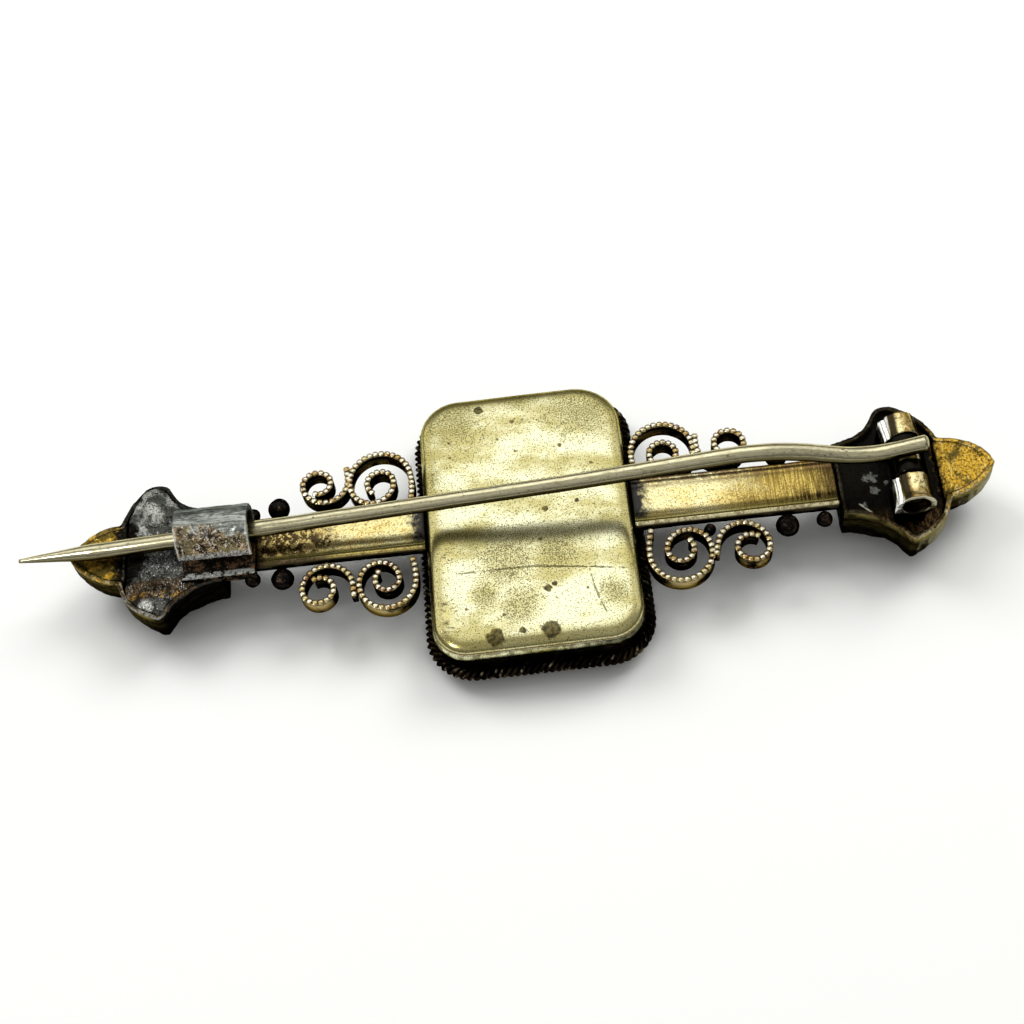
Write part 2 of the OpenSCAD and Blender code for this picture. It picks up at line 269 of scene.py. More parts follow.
class Look:
    """Node tree of one material. Its textures are read in millimetres in the row frame."""

    def __init__(self, name, metallic=1.0):
        self.material = bpy.data.materials.new(name)
        self.material.use_nodes = True
        self.tree = self.material.node_tree
        self.shader = self.tree.nodes["Principled BSDF"]
        self.shader.inputs["Metallic"].default_value = metallic
        self.colour = BLACK
        metres = self.source("TexCoord", "Object")
        self.place = add_node("VectorMath", {0: metres, "Scale": 1 / MM}, operation="SCALE")

    def source(self, kind, output, inputs=(), **settings):
        """Output of a node that needs nothing from another node."""
        return add_node(kind, dict(inputs), output, self.tree, **settings)

    def grid(self, size):
        """Coordinates in which one size is one unit. A size is one number, or one along each axis."""
        sizes = size if isinstance(size, tuple) else (size, size, size)
        return vector_maths("DIVIDE", self.place, sizes)

    def noise(self, size, detail=3.0, rough=0.55, warp=0.0, offset=0.0):
        """Noise from 0 to 1 with blotches of the given size."""
        place = vector_maths("ADD", self.grid(size), (offset, offset, offset))
        inputs = {"Vector": place, "Scale": 1.0, "Detail": detail, "Roughness": rough, "Distortion": warp}
        return add_node("TexNoise", inputs, "Fac")

    def cells(self, size):
        """Distance to the nearest of scattered points about one size apart."""
        return add_node("TexVoronoi", {"Vector": self.grid(size), "Scale": 1.0}, "Distance")

    def axis(self, name):
        """One coordinate in millimetres."""
        return add_node("SeparateXYZ", {0: self.place}, name)

    def facing(self, axis):
        """How far the surface faces along an axis of its own, from -1 to 1."""
        return add_node("SeparateXYZ", {0: self.source("TexCoord", "Normal")}, axis)

    def blot(self, middle, radius, shift, crisp):
        """1 in a blot whose border wobbles. It is full within the share of its radius that crisp gives."""
        distance = vector_maths("DISTANCE", self.place, middle)
        return mask(plus(distance, shift), radius, radius * crisp)

    def marks(self, rows, ragged, crisp):
        """1 in ragged blots on the pan. Rows: x and y of the middle, radius."""
        blots = []
        for x, y, radius in rows:
            pattern = self.noise(min(radius * 0.8, 0.8), offset=radius)
            shift = wobble(pattern, radius * 2 * ragged)
            blots.append(self.blot((x, y, BACK_Z), radius, shift, crisp))
        return functools.reduce(either, blots)

    def line(self, start, end, width, ragged):
        """1 on a thin straight line between two points."""
        start, end = Vector(start), Vector(end)
        way = (end - start).normalized()
        offset = vector_maths("SUBTRACT", self.place, start)
        run = either(vector_maths("DOT_PRODUCT", offset, way), 0.0)
        run = maths("MINIMUM", run, (end - start).length)
        nearest = add_node("VectorMath", {0: way, "Scale": run}, operation="SCALE")
        distance = vector_maths("DISTANCE", offset, nearest)
        distance = plus(distance, wobble(self.noise(0.5), ragged * 2))
        return mask(distance, width, width * 0.4)

    def edges(self, low, high):
        """1 on sharp outer edges."""
        return mask(self.source("NewGeometry", "Pointiness"), low, high)

    def hollows(self, reach, low, high):
        """1 deep in hollows and gaps that are about as wide as reach, and 0 in the open."""
        open_share = self.source("AmbientOcclusion", "AO", {"Distance": reach * MM}, samples=6)
        return mask(open_share, low, high)

    def paint(self, tone, where, share=1.0):
        """Lays a tone over the look's own colour where a mask is 1."""
        self.colour = over(self.colour, tone, where, share)

    def finish(self, roughness, bumps=()):
        """Sets the shader's inputs and adds bumps. Columns: height pattern, height in millimetres."""
        # The tint keeps the metal's own colour where it is seen at a flat angle
        colour = rgba(self.colour)
        inputs = {"Base Color": colour, "Specular Tint": colour, "Roughness": roughness}
        before = {}
        for pattern, height in bumps:
            bump = add_node("Bump", {"Height": pattern, "Distance": height * MM, **before}, "Normal")
            before = {"Normal": bump}
        connect(self.shader, {**inputs, **before})
        return self.material


# Colours, in linear light
PALE_BRASS = (0.84, 0.83, 0.54)
GREEN_BRASS = (0.48, 0.43, 0.18)
EDGE_GOLD = (0.55, 0.47, 0.16)
OLIVE = (0.1, 0.088, 0.03)
WARM_GOLD = (0.74, 0.59, 0.23)
BROWN = (0.1, 0.055, 0.02)
BLACK = (0.01, 0.009, 0.007)
SILVER = (0.84, 0.85, 0.82)


def pan_look():
    look = Look("plaque_gilt")
    broad = look.noise((4.0, 2.0, 3.0), offset=3.1)
    dull = look.marks(PAN_DULL, 0.3, 0.2)
    look.colour = blend(mask(broad, 0.4, 0.64), PALE_BRASS, GREEN_BRASS)
    look.paint(GREEN_BRASS, dull, 0.75)
    x, z = look.axis("X"), look.axis("Z")
    edge = band(z, 3.3, 3.42, 3.66, 3.75)
    look.paint(EDGE_GOLD, edge, 0.75)
    grain = look.noise(0.075, 1.0, 0.6)
    specks = mask(shifted(grain, dull, 0.1), 0.54, 0.64)
    look.paint(OLIVE, specks, 0.75)
    dots = mask(look.cells(0.42), 0.16, 0.09)
    dots = both(dots, mask(look.noise(0.9, 2.0, offset=1.3), 0.46, 0.56))
    dots = either(dots, look.marks(PAN_SPECKS, 0.5, 0.6))
    look.paint(BROWN, dots, 0.85)
    stains = look.marks(PAN_STAINS, 0.55, 0.75)
    mottles = mask(look.noise(0.25, 3.0, 0.7, offset=9.0), 0.44, 0.56)
    stain_tone = blend(mottles, (0.13, 0.1, 0.03), (0.028, 0.024, 0.01))
    look.paint(stain_tone, stains, 0.93)
    # Crack and creases
    lines = [look.line((*start, BACK_Z), (*end, BACK_Z), width, 0.1) for start, end, width in PAN_LINES]
    cracks = functools.reduce(either, lines)
    look.paint(OLIVE, cracks, 0.7)
    strokes = look.noise((0.7, 0.13, 1.0), 3.0, 0.6, offset=2.2)
    creases = both(mask(strokes, 0.56, 0.7), look.marks(PAN_WRINKLES, 0.3, 0.3))
    look.paint(OLIVE, creases, 0.7)
    # Seam and underside
    seam = band(z, 3.14, 3.2, 3.28, 3.36)
    look.paint((0.12, 0.06, 0.015), seam, 0.9)
    lip = both(mask(z, 3.2, 3.14), mask(look.noise(0.5, offset=4.0), 0.4, 0.6))
    look.paint(OLIVE, lip, 0.7)
    shaded = both(mask(z, 3.2, 3.14), mask(x, 0.5, 4.5))
    look.paint(BLACK, shaded, 0.8)
    # Painted shade, with tarnish: black low on the wall, in the recess above the rope
    look.paint(BLACK, mask(z, 2.75, 2.6))
    roughness = spread(either(specks, stains), 0.21, 0.34)
    bumps = [(grain, 0.0012), (look.noise(0.5, offset=7.0), 0.002), (cracks, -0.02), (creases, -0.02)]
    return look.finish(roughness, bumps)


def bar_look():
    look = Look("bar_gilt")
    x, y, z = look.axis("X"), look.axis("Y"), look.axis("Z")
    broad = look.noise((2.6, 1.2, 1.2), 4.0, 0.6, 0.6, offset=4.4)
    look.colour = blend(mask(broad, 0.4, 0.62), (0.76, 0.7, 0.38), WARM_GOLD)
    grain = look.noise(0.09, 2.0, 0.65)
    coarse = look.noise(0.3, 3.0, 0.65, offset=1.7)
    strokes = look.noise((0.1, 1.8, 1.8), 3.0, 0.6)
    right_end = mask(shifted(x, broad, 3.0), 11.5, 16.5)
    left_end = mask(shifted(x, broad, 3.0), -9.0, -12.0)
    striped = blend(mask(strokes, 0.4, 0.58), (0.56, 0.42, 0.1), (0.22, 0.14, 0.02))
    look.paint(striped, right_end, 0.95)
    look.paint((0.56, 0.41, 0.13), left_end, 0.7)
    dull = either(either(both(right_end, 0.5), left_end), mask(broad, 0.5, 0.7))
    specks = mask(shifted(grain, dull, 0.08), 0.52, 0.64)
    look.paint((0.22, 0.15, 0.045), specks, 0.7)
    # Tarnish and soot
    mottled = mask(shifted(x, broad, 6.0), -8.6, -10.0)
    burnt = both(mask(coarse, 0.44, 0.52), mottled)
    to_casting = shifted(x, strokes, 2.4)
    burnt = either(burnt, both(mask(to_casting, 17.6, 19.6), 0.9))
    sooty = either(mask(y, 0.0, -1.0), mask(x, 0.0, -1.0))
    sooty = both(mask(strokes, 0.42, 0.56), sooty)
    burnt = either(burnt, both(mask(to_casting, 16.4, 18.4), sooty))
    look.paint((0.03, 0.017, 0.008), burnt, 0.94)
    upper = both(mask(y, 0.7, 1.4), mask(coarse, 0.4, 0.54))
    look.paint((0.17, 0.1, 0.05), upper, 0.8)
    smudge = plus(maths("ABSOLUTE", x), both(look.noise(0.4, 3.0, 0.7), -1.6))
    look.paint((0.03, 0.028, 0.026), mask(smudge, 6.7, 5.9))
    # Painted shade in the groove and painted highlight on the lip, along the lower edge
    shaded_groove = band(y, -1.48, -1.4, -1.2, -0.95)
    look.paint((0.2, 0.17, 0.05), shaded_groove, 0.85)
    lip = mask(y, -1.38, -1.46)
    # The lip's pale tone is a painted highlight, darker towards the left bar's far end and mottled with
    # tarnish, with painted shade along its bottom edge
    left_lip = blend(mask(x, -13.5, -10.5), (0.08, 0.06, 0.025), (0.62, 0.49, 0.15))
    lip_highlight_tone = blend(mask(x, -1.0, 1.0), left_lip, (0.95, 0.85, 0.5))
    lip_highlight_tone = over(lip_highlight_tone, (0.2, 0.14, 0.08), mask(coarse, 0.48, 0.58), 0.6)
    lip_highlight_tone = over(lip_highlight_tone, (0.1, 0.08, 0.035), mask(y, -1.58, -1.66))
    look.paint(lip_highlight_tone, lip)
    # Painted shade: black below the flat back
    look.paint(BLACK, mask(z, 3.46, 3.34))
    look.paint(BLACK, look.hollows(0.7, 0.6, 0.25))
    roughness = spread(specks, 0.22, 0.38)
    bumps = [(grain, 0.004), (coarse, 0.006), (both(strokes, either(right_end, 0.1)), 0.014)]
    return look.finish(roughness, bumps)


def casting_look():
    look = Look("end_casting")
    x, y, z = look.axis("X"), look.axis("Y"), look.axis("Z")
    broad = look.noise(1.3, 4.0, 0.6, 0.5, offset=5.2)
    grain = look.noise(0.16, 4.0, 0.75)
    strokes = look.noise((0.12, 0.5, 0.3), 3.0, 0.7, 1.2)
    from_tip = minus(HALF_LEN, maths("ABSOLUTE", x))
    on_left = mask(x, 1.0, -1.0)

    # Gilt petals and dark wings
    gold = blend(mask(grain, 0.45, 0.58), (0.82, 0.5, 0.055), (0.26, 0.15, 0.02))
    gold = over(gold, (0.95, 0.74, 0.26), mask(strokes, 0.54, 0.66), 0.7)
    patches = plus(look.noise(0.9, 4.0, 0.7, offset=7.7), both(on_left, 0.05))
    gold = over(gold, (0.07, 0.058, 0.018), mask(patches, 0.53, 0.6), 0.85)
    striped = both(mask(strokes, 0.46, 0.62), mask(y, -1.8, -3.2))
    wing = blend(striped, BLACK, (0.16, 0.09, 0.03))
    for place, radius in HOLLOW_PATCHES:
        shift = wobble(look.noise(0.35, 4.0, 0.75), radius * 3.2)
        grey = both(look.blot(place, radius, shift, 0.7), mask(grain, 0.34, 0.46))
        wing = over(wing, (0.2, 0.21, 0.18), grey)
    for start, end in HOLLOW_SCRATCHES:
        wing = over(wing, (0.7, 0.66, 0.5), look.line(start, end, 0.07, 0.1))
    border = shifted(from_tip, look.noise(0.5, 4.0, 0.7, offset=2.0), 1.6)
    border = shifted(border, on_left, 0.6)
    face = blend(mask(border, 3.7, 4.4), gold, wing)

    # Sides, with painted light and shade: walls that face the tip lighter, the others dark, all darker low
    # down
    along_x = both(look.facing("X"), spread(on_left, 1.0, -1.0))
    lit = blend(on_left, (0.44, 0.42, 0.3), (0.12, 0.105, 0.055))
    side = blend(mask(along_x, 0.2, 0.7), (0.06, 0.05, 0.022), lit)
    bright_tip = both(mask(along_x, 0.4, 0.7), spread(on_left, 1.6, 0.0))
    shaded = plus(plus(z, broad), bright_tip)
    side = over(side, (0.014, 0.012, 0.01), mask(shaded, 3.4, 2.4))
    top_edge = both(mask(z, 3.2, 3.6), mask(broad, 0.62, 0.4))
    side = over(side, (0.3, 0.25, 0.09), top_edge)
    # Painted shade: black on the neck, fully at the left end, and on walls that face away from the tip
    neck_shade = both(mask(from_tip, 4.9, 6.0), spread(on_left, 0.35, 1.0))
    neck_shade = either(neck_shade, mask(along_x, -0.7, -0.9))
    side = over(side, BLACK, neck_shade)
    look.colour = blend(mask(look.facing("Z"), 0.35, 0.7), side, face)

    # Rims
    plain = either(mask(y, -0.5, 1.0), mask(from_tip, 5.6, 6.4))
    plain = both(plain, mask(from_tip, 3.0, 3.3))
    rims = both(look.edges(0.51, 0.55), mask(z, 3.55, 3.7))
    rims = both(rims, spread(plain, 0.9, 0.1))
    rim_tone = blend(mask(broad, 0.4, 0.6), (0.7, 0.64, 0.4), (0.3, 0.2, 0.06))
    on_wing = both(on_left, mask(from_tip, 3.0, 3.6))
    rim_tone = over(rim_tone, (0.42, 0.42, 0.37), on_wing)
    look.paint(rim_tone, both(rims, mask(grain, 0.62, 0.5)))
    look.paint(BLACK, look.hollows(0.9, 0.65, 0.3))
    roughness = spread(mask(grain, 0.3, 0.7), 0.24, 0.42)
    bumps = [(grain, 0.03), (both(strokes, mask(z, 3.0, 3.2)), 0.05)]
    return look.finish(roughness, bumps)


def solder_look():
    look = Look("solder")
    y = look.axis("Y")
    from_tip = plus(look.axis("X"), HALF_LEN)
    broad = look.noise(1.0, 4.0, 0.6, 0.4, offset=1.9)
    grain = look.noise(0.11, 4.0, 0.75)
    upper = blend(mask(broad, 0.43, 0.56), (0.1, 0.104, 0.09), (0.5, 0.51, 0.45))
    lower = blend(mask(broad, 0.42, 0.6), (0.035, 0.035, 0.031), (0.17, 0.175, 0.155))
    look.colour = blend(mask(y, 1.2, -0.4), upper, lower)
    streaks = look.noise((0.09, 0.6, 0.3), 3.0, 0.7, offset=4.0)
    striped = blend(mask(streaks, 0.42, 0.58), (0.03, 0.02, 0.012), (0.15, 0.1, 0.05))
    look.paint(striped, band(y, -3.5, -3.1, -2.2, -1.7))
    brown = band(y, -3.4, -3.2, -2.9, -2.7)
    brown = both(brown, mask(look.noise(0.5), 0.5, 0.58))
    brown_tone = blend(mask(grain, 0.42, 0.6), (0.08, 0.045, 0.015), (0.5, 0.3, 0.07))
    look.paint(brown_tone, brown)
    blob = vector_maths("DISTANCE", look.place, SOLDER_BLOB)
    blob = shifted(blob, grain, 0.6)
    look.paint((0.62, 0.63, 0.57), mask(blob, 1.0, 0.8))
    pits = mask(grain, 0.5, 0.4)
    look.paint((0.02, 0.02, 0.018), pits, 0.8)
    glints = mask(look.noise((0.07, 0.16, 0.14), 3.0, 0.7, offset=3.3), 0.58, 0.63)
    look.paint(SILVER, both(glints, mask(broad, 0.42, 0.52)))
    # Painted shade: black in the crevice where the solder meets the petal
    curve = plus(from_tip, both(both(y, y), 0.22))
    curve = plus(curve, wobble(look.noise(0.5, 4.0, 0.7), 2.0))
    look.paint(BLACK, mask(curve, 5.1, 4.5))
    look.paint(BLACK, look.hollows(0.6, 0.6, 0.3))
    return look.finish(spread(grain, 0.18, 0.38), [(grain, 0.05), (broad, 0.09)])


def beaded_look():
    look = Look("beaded_wire")
    z = look.axis("Z")
    broad = look.noise(1.2, offset=2.8)
    bright = blend(mask(broad, 0.42, 0.56), (0.68, 0.57, 0.28), (0.5, 0.34, 0.12))
    bright = over(bright, (0.34, 0.2, 0.1), mask(look.noise(0.8, 2.0, offset=8.0), 0.56, 0.64))
    glints = both(mask(z, 3.53, 3.56), mask(look.noise(0.4, 2.0, offset=9.0), 0.44, 0.56))
    bright = over(bright, (0.96, 0.92, 0.74), glints)
    # Painted light and shade on the strip's sides: black, with a gold tone where they face -y
    front = mask(look.facing("Y"), -0.35, -0.8)
    side = blend(both(front, mask(broad, 0.66, 0.44)), BLACK, (0.4, 0.31, 0.14))
    side = over(side, BLACK, look.hollows(1.6, 0.95, 0.75))
    look.colour = blend(mask(z, 3.38, 3.43), side, bright)
    look.paint(BLACK, look.hollows(0.3, 0.6, 0.3))
    return look.finish(spread(broad, 0.16, 0.34), [(look.noise(0.12), 0.008)])


def ball_look():
    look = Look("dark_ball")
    broad = look.noise(0.5, 4.0, 0.65, offset=3.0)
    look.colour = blend(mask(broad, 0.52, 0.64), (0.01, 0.009, 0.008), (0.06, 0.032, 0.02))
    # Pale flecks on the balls' tops: wear, with painted glints
    worn = mask(look.noise(0.12, 3.0, 0.7), 0.63, 0.7)
    worn = both(worn, mask(look.facing("Z"), 0.5, 0.9))
    look.paint((0.45, 0.34, 0.22), worn)
    return look.finish(spread(broad, 0.2, 0.42), [(look.noise(0.16), 0.02)])


def catch_look():
    look = Look("catch_sheet")
    x, y, z = look.axis("X"), look.axis("Y"), look.axis("Z")
    grain = look.noise(0.1, 4.0, 0.75)
    brush = look.noise((1.6, 0.12, 0.12), 3.0, 0.6)
    grey = blend(mask(brush, 0.36, 0.62), (0.12, 0.13, 0.115), (0.42, 0.44, 0.4))
    worn = plus(shifted(z, x, 0.12), both(look.noise(0.9, 4.0, 0.65), 1.9))
    front = both(mask(worn, 5.6, 5.2), mask(y, -0.15, -0.5))
    blotches = plus(both(grain, 0.6), both(look.noise(0.5, 3.0, 0.6, offset=1.2), 0.5))
    copper = blend(mask(blotches, 0.49, 0.56), (0.46, 0.33, 0.17), (0.03, 0.018, 0.01))
    # Painted glints on the copper
    copper_glints = mask(look.noise(0.16, 3.0, 0.7, offset=4.4), 0.55, 0.61)
    copper = over(copper, (0.95, 0.84, 0.68), copper_glints)
    green = both(mask(look.noise(0.6, offset=6.1), 0.5, 0.62), 0.7)
    copper = over(copper, (0.24, 0.2, 0.09), green)
    look.colour = blend(front, grey, copper)
    low = mask(shifted(z, look.noise(0.3), 0.6), 5.9, 5.78)
    low = both(low, mask(y, -1.0, -1.2))
    ragged = blend(mask(grain, 0.4, 0.56), (0.62, 0.63, 0.6), (0.1, 0.09, 0.08))
    look.paint(ragged, low)
    ends = maths("ABSOLUTE", minus(x, CATCH_MIDDLE))
    ends = both(mask(shifted(ends, grain, 0.3), 2.2, 2.3), mask(y, -0.3, -0.6))
    look.paint((0.7, 0.71, 0.68), ends)
    glints = mask(look.noise((0.08, 0.25, 0.25), 3.0, 0.7, offset=5.0), 0.6, 0.67)
    look.paint(SILVER, both(glints, either(front, low)))
    # A scratch, with a painted highlight along it
    look.paint(SILVER, look.line(*CATCH_STREAK, 0.12, 0.15))
    # Foot, inside the hook: painted black for its shade, with rust, painted glints and a grey rim
    rust = mask(look.noise(0.4, 4.0, 0.7, offset=8.0), 0.5, 0.6)
    foot = blend(rust, BLACK, (0.16, 0.085, 0.04))
    # Painted glints on the foot
    foot = over(foot, (0.6, 0.5, 0.42), mask(look.noise((0.08, 0.14, 0.1), 3.0, 0.7), 0.62, 0.68))
    rim = both(mask(y, -2.05, -2.15), mask(shifted(z, grain, 0.3), 4.22, 4.32))
    rim = both(rim, mask(look.noise(0.3, 4.0, 0.7, offset=2.7), 0.4, 0.5))
    foot = over(foot, (0.4, 0.41, 0.38), rim)
    look.paint(foot, mask(z, 4.7, 4.5))
    # Painted shade: black deep inside the hook
    look.paint(BLACK, both(look.hollows(0.9, 0.5, 0.2), mask(y, -2.05, -1.9)))
    bumps = [(grain, 0.006), (both(grain, front), 0.04)]
    return look.finish(spread(front, 0.34, 0.26), bumps)


def tube_look():
    look = Look("hinge_tube")
    across = minus(look.axis("X"), HINGE_X)
    broad = look.noise((0.5, 1.0, 0.6), 4.0, 0.6, 0.5, offset=6.6)
    look.colour = blend(mask(broad, 0.4, 0.6), (0.84, 0.73, 0.38), (0.4, 0.27, 0.08))
    tarnish = mask(look.noise(0.25, 3.0, 0.7), 0.52, 0.62)
    look.paint(BROWN, tarnish, 0.8)
    shade = band(across, -0.78, -0.7, -0.45, -0.2)
    look.paint((0.04, 0.032, 0.016), shade)
    # Painted shade on the tube's right side
    look.paint((0.11, 0.09, 0.045), mask(across, 0.5, 0.75))
    # Painted highlight on the ends that face -y
    look.paint((0.5, 0.47, 0.34), mask(look.facing("Y"), -0.6, -0.8))
    # Painted highlight: near-white on the ledge along the left side
    look.paint((0.95, 0.95, 0.9), mask(across, -0.74, -0.8))
    # Painted shade: black on the tubes' undersides
    look.paint(BLACK, mask(look.axis("Z"), 4.7, 4.2))
    look.paint(BLACK, look.hollows(0.8, 0.55, 0.25))
    return look.finish(spread(broad, 0.14, 0.3), [(look.noise(0.15), 0.01)])


def stem_look():
    look = Look("stem_wire")
    streaks = look.noise((3.0, 0.07, 0.07), 3.0, 0.6, offset=1.0)
    look.colour = blend(mask(streaks, 0.34, 0.66), (0.76, 0.71, 0.47), (0.6, 0.54, 0.33))
    soot = mask(look.noise((0.9, 0.2, 0.2), 4.0, 0.7), 0.54, 0.68)
    look.paint((0.2, 0.18, 0.1), soot, 0.5)
    dots = mask(look.noise(0.15, 3.0, 0.6, offset=4.0), 0.64, 0.7)
    look.paint(BROWN, dots)
    # Painted shade: the underside of the wire darker
    underside_shade = mask(plus(look.facing("Z"), both(streaks, 0.24)), 0.74, 0.44)
    look.paint((0.09, 0.075, 0.03), underside_shade, 0.95)
    # Black on the stem's own tube: painted shade, with tarnish
    side = maths("ABSOLUTE", look.axis("Y"))
    tube = either(mask(side, 0.47, 0.54), mask(look.axis("Z"), 5.9, 5.75))
    tube = both(mask(look.axis("X"), HINGE_X - 1.2, HINGE_X - 1.1), tube)
    look.paint(BLACK, tube)
    bumps = [(streaks, 0.002), (look.noise(0.3), 0.006)]
    return look.finish(spread(streaks, 0.14, 0.26), bumps)


def rope_look():
    look = Look("rope_wire")
    broad = look.noise(1.4, offset=2.0)
    look.colour = blend(mask(broad, 0.42, 0.64), (0.006, 0.005, 0.004), (0.024, 0.016, 0.009))
    worn = both(look.edges(0.54, 0.6), mask(look.noise(0.45, 2.0), 0.55, 0.63))
    look.paint((0.4, 0.33, 0.2), worn)
    return look.finish(spread(broad, 0.4, 0.55), [(look.noise(0.12), 0.008)])


def dark_look(name, pale):
    """Dark metal for what lies in the shade, its darkness painted shade."""
    look = Look(name)
    broad = look.noise(1.1, 4.0, 0.6, offset=2.5)
    look.colour = blend(mask(broad, 0.42, 0.7), BLACK, pale)
    return look.finish(spread(broad, 0.3, 0.55), [(look.noise(0.2), 0.01)])


# Plaque

# Marks on the pan: x and y of the middle, radius
PAN_STAINS = [
    (-2.5, -8.2, 0.62), (0.75, -8.05, 0.64), (0.78, -5.35, 0.27), (1.2, -5.1, 0.18),
    (-2.55, 7.75, 0.34), (-0.6, -8.75, 0.2), (-0.9, -7.9, 0.26), (1.05, 0.07, 0.22),
    (3.0, 0.4, 0.16), (0.6, -2.0, 0.14),
]
PAN_SPECKS = [
    (-4.5, 5.5, 0.14), (-4.5, 4.4, 0.12), (-1.5, 5.4, 0.12), (2.3, 4.5, 0.17), (4.1, 3.0, 0.14),
    (-0.45, 4.4, 0.12), (-0.5, 6.6, 0.18), (-1.9, -6.8, 0.13), (-4.1, -6.2, 0.13),
    (3.1, -5.6, 0.12),
]
PAN_DULL = [
    (-4.2, 7.2, 2.8), (3.9, 7.2, 3.4), (-1.6, -3.3, 2.6), (-0.9, -6.3, 1.9), (-3.0, -5.4, 1.3),
    (4.6, -5.9, 1.3), (0.0, 9.0, 2.0), (1.5, -3.0, 1.8), (-5.9, 3.0, 1.2),
]
PAN_WRINKLES = [(-5.2, -7.4, 0.9), (-5.1, -5.6, 0.8), (-5.0, -2.6, 0.6)]
# Crack and crescent scratch: start, end, width
PAN_LINES = [
    ((-5.3, -3.75), (0.2, -3.8), 0.05), ((0.2, -3.8), (5.5, -4.5), 0.07), ((3.4, -4.75), (3.5, -5.5), 0.06),
    ((3.5, -5.5), (3.75, -6.5), 0.06), ((3.75, -6.5), (4.4, -8.2), 0.05),
]
# Corner radii of the pan: right top, left top, left bottom, right bottom
PAN_CORNERS = [2.9, 2.5, 2.1, 2.2]
# Columns: distance in from the outline, height
PAN_PROFILE = [
    (0.4, 2.5), (0.06, 2.5), (0.0, 2.6), (0.0, 2.95), (0.06, 3.14), (0.13, 3.2), (0.11, 3.28), (0.13, 3.36),
    (0.2, 3.47), (0.34, 3.58), (0.54, 3.66), (0.78, 3.71), (1.05, 3.74), (1.4, 3.765), (1.8, 3.78),
    (2.4, 3.795), (3.2, BACK_Z),
]
# Steps along the pan's two sides and round each corner
PAN_STEPS, PAN_ARC_STEPS = (36, 52), 10
# Soft dents, and the height above which they reach: x, y, radius, depth
PAN_DENTS = [
    (-4.6, -2.2, 1.8, 0.06), (-5.2, -6.2, 1.3, 0.08), (-2.6, -4.9, 1.6, 0.1), (4.6, -3.0, 1.8, 0.04),
    (3.4, 7.0, 2.2, 0.04), (-3.8, 6.4, 2.0, 0.04), (0.6, -1.2, 3.2, 0.02), (0.3, -6.9, 2.4, 0.05),
]
DENTS_FROM_Z = 3.3
# Shallow furrow along the crack
FURROW_Y, FURROW_W, FURROW_DEPTH = -4.1, 0.35, 0.02

# Rope wire: strands, length of one twist, radius of a strand and of its way round the rope's middle
STRANDS, PITCH, STRAND_R, STRAND_SIDES, TWIST_R = 3, 1.2, 0.185, 8, 0.2
# Its height, how far it lies outside the pan, its corner radius, and steps along its sides and corners
ROPE_Z, ROPE_OUT, ROPE_CORNER = 1.17, 0.2, 2.6
ROPE_STEPS, ROPE_ARC_STEPS = (130, 200), 58


def rounded_ring(width, length, radii, inset, side_steps, arc_steps):
    """Rounded rectangle drawn in by inset, with the same number of points for any inset."""
    arcs = []
    for corner, radius in enumerate(radii):
        sign_x = 1 if corner in (0, 3) else -1
        sign_y = 1 if corner in (0, 1) else -1
        centre = max(radius, inset)
        middle = Vector((sign_x * (width / 2 - centre), sign_y * (length / 2 - centre)))
        angles = [math.pi / 2 * (corner + k / arc_steps) for k in range(arc_steps + 1)]
        arcs.append([middle + max(radius - inset, 0) * Vector((math.cos(a), math.sin(a))) for a in angles])
    ring = []
    for corner, arc in enumerate(arcs):
        following = arcs[(corner + 1) % len(arcs)]
        steps = side_steps[corner % 2]
        ring += arc + [arc[-1].lerp(following[0], k / steps) for k in range(1, steps)]
    return ring


def make_pan():
    columns, rows = PAN_STEPS
    rings = []
    for inset, z in PAN_PROFILE:
        outline = rounded_ring(PAN_W, PAN_L, PAN_CORNERS, inset, PAN_STEPS, PAN_ARC_STEPS)
        rings.append([(p.x, p.y, z) for p in outline])
    points, faces = skin(rings)
    # A grid takes the place of the one large face on top
    faces.pop()
    inner = PAN_PROFILE[-1][0]
    half_x, half_y = PAN_W / 2 - inner, PAN_L / 2 - inner
    start = len(points)
    for j in range(rows + 1):
        y = half_y * (2 * j / rows - 1)
        points += [(half_x * (2 * i / columns - 1), y, BACK_Z) for i in range(columns + 1)]
    for j in range(rows):
        for i in range(columns):
            here = start + j * (columns + 1) + i
            beyond = here + columns + 1
            faces.append((here, here + 1, beyond + 1, beyond))
    pan = shape("pan", [(points, faces)])
    for v in pan.data.vertices:
        if v.co.z > DENTS_FROM_Z:
            for x, y, radius, depth in PAN_DENTS:
                v.co.z -= depth * near(math.hypot(v.co.x - x, v.co.y - y), radius)
            v.co.z -= FURROW_DEPTH * near(v.co.y - FURROW_Y, FURROW_W)
        v.co = turned(v.co, PLAQUE_TURN)
    uneven(pan, [(6.0, 0.02, 1.0), (2.2, 0.008, 5.0)], lambda p: 1.0 if p.z > 3.0 else 0.3)
    settle(pan, "plaque_gilt", "plaque_back")


